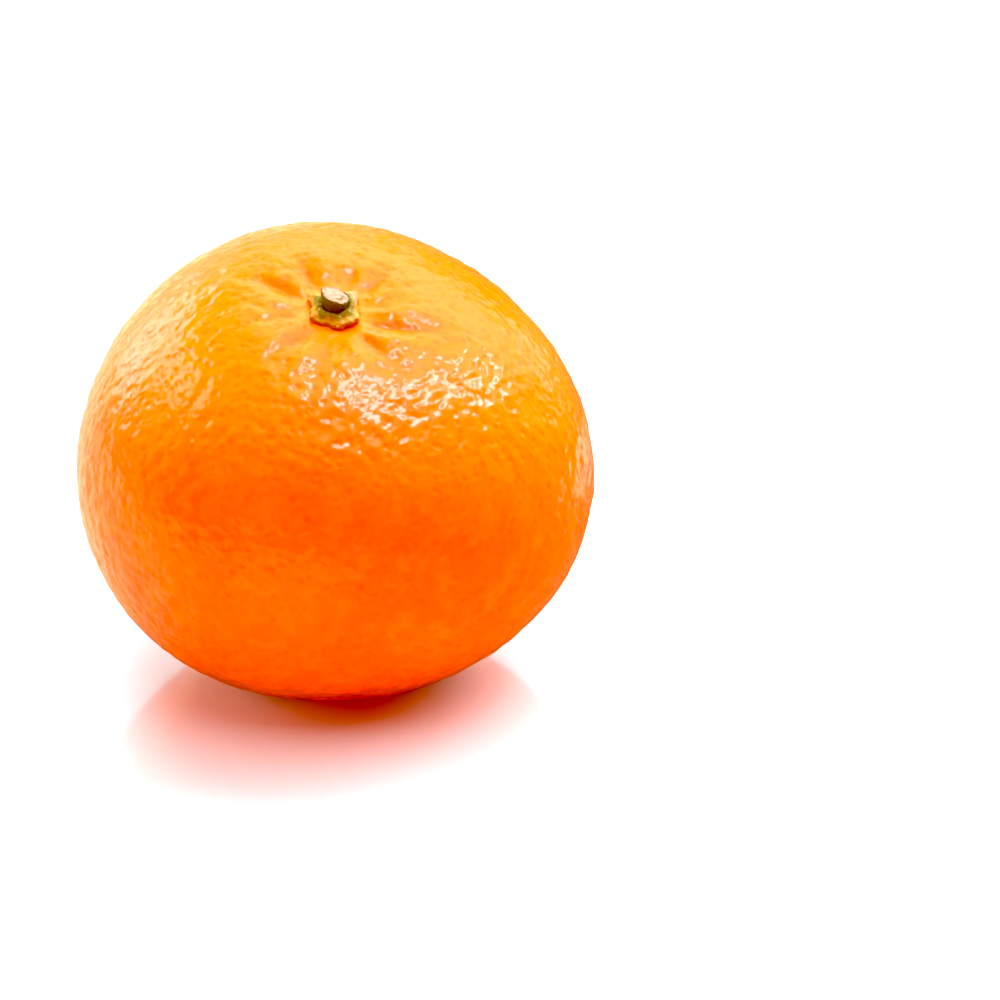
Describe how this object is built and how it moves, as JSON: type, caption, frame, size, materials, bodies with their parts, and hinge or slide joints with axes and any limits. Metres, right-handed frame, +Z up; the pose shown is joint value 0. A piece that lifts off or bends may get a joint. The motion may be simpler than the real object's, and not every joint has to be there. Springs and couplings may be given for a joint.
{
  "type": "mandarin",
  "caption": "Whole mandarin with its dry calyx and a short cut stub of stem, lying on a small flat spot.",
  "frame": {"origin": "middle of the small flat spot that the fruit rests on", "axes": "+Z up from the surface it rests on, -Y to the front, towards which the core leans so that the stem end shows, +X to the right seen from the front"},
  "size_m": [0.0638, 0.0632, 0.0533],
  "materials": {
    "rind": "satin",
    "calyx": "matte",
    "stem": "matte"
  },
  "bodies": {
    "root": {"fruit": "rind", "calyx": "calyx", "stem": "stem"}
  },
  "joints": []
}
